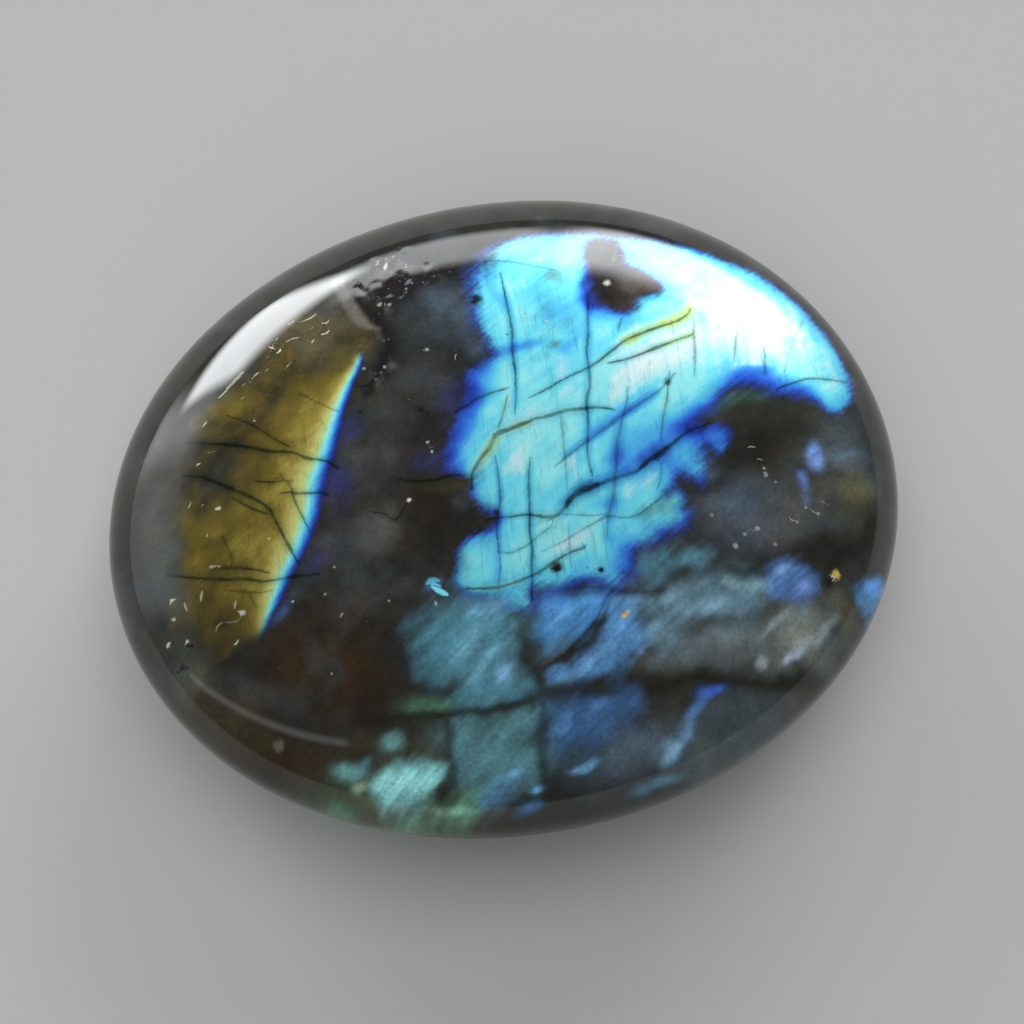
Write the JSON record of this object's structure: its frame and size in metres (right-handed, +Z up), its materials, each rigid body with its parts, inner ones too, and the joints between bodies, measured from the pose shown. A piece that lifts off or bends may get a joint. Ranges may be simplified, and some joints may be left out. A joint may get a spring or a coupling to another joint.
{
  "type": "oval labradorite",
  "caption": "Polished oval palm stone of dark grey feldspar with blue and gold sheen, a flattened dome with a small flat underside to rest on.",
  "frame": {"origin": "middle of the flat resting face, under the middle of the oval", "axes": "+X along the oval's long axis, +Y across it, +Z up out of the domed crown"},
  "size_m": [0.058, 0.049, 0.018],
  "materials": {
    "labradorite": "polished"
  },
  "bodies": {
    "root": {"stone": "labradorite"}
  },
  "joints": []
}
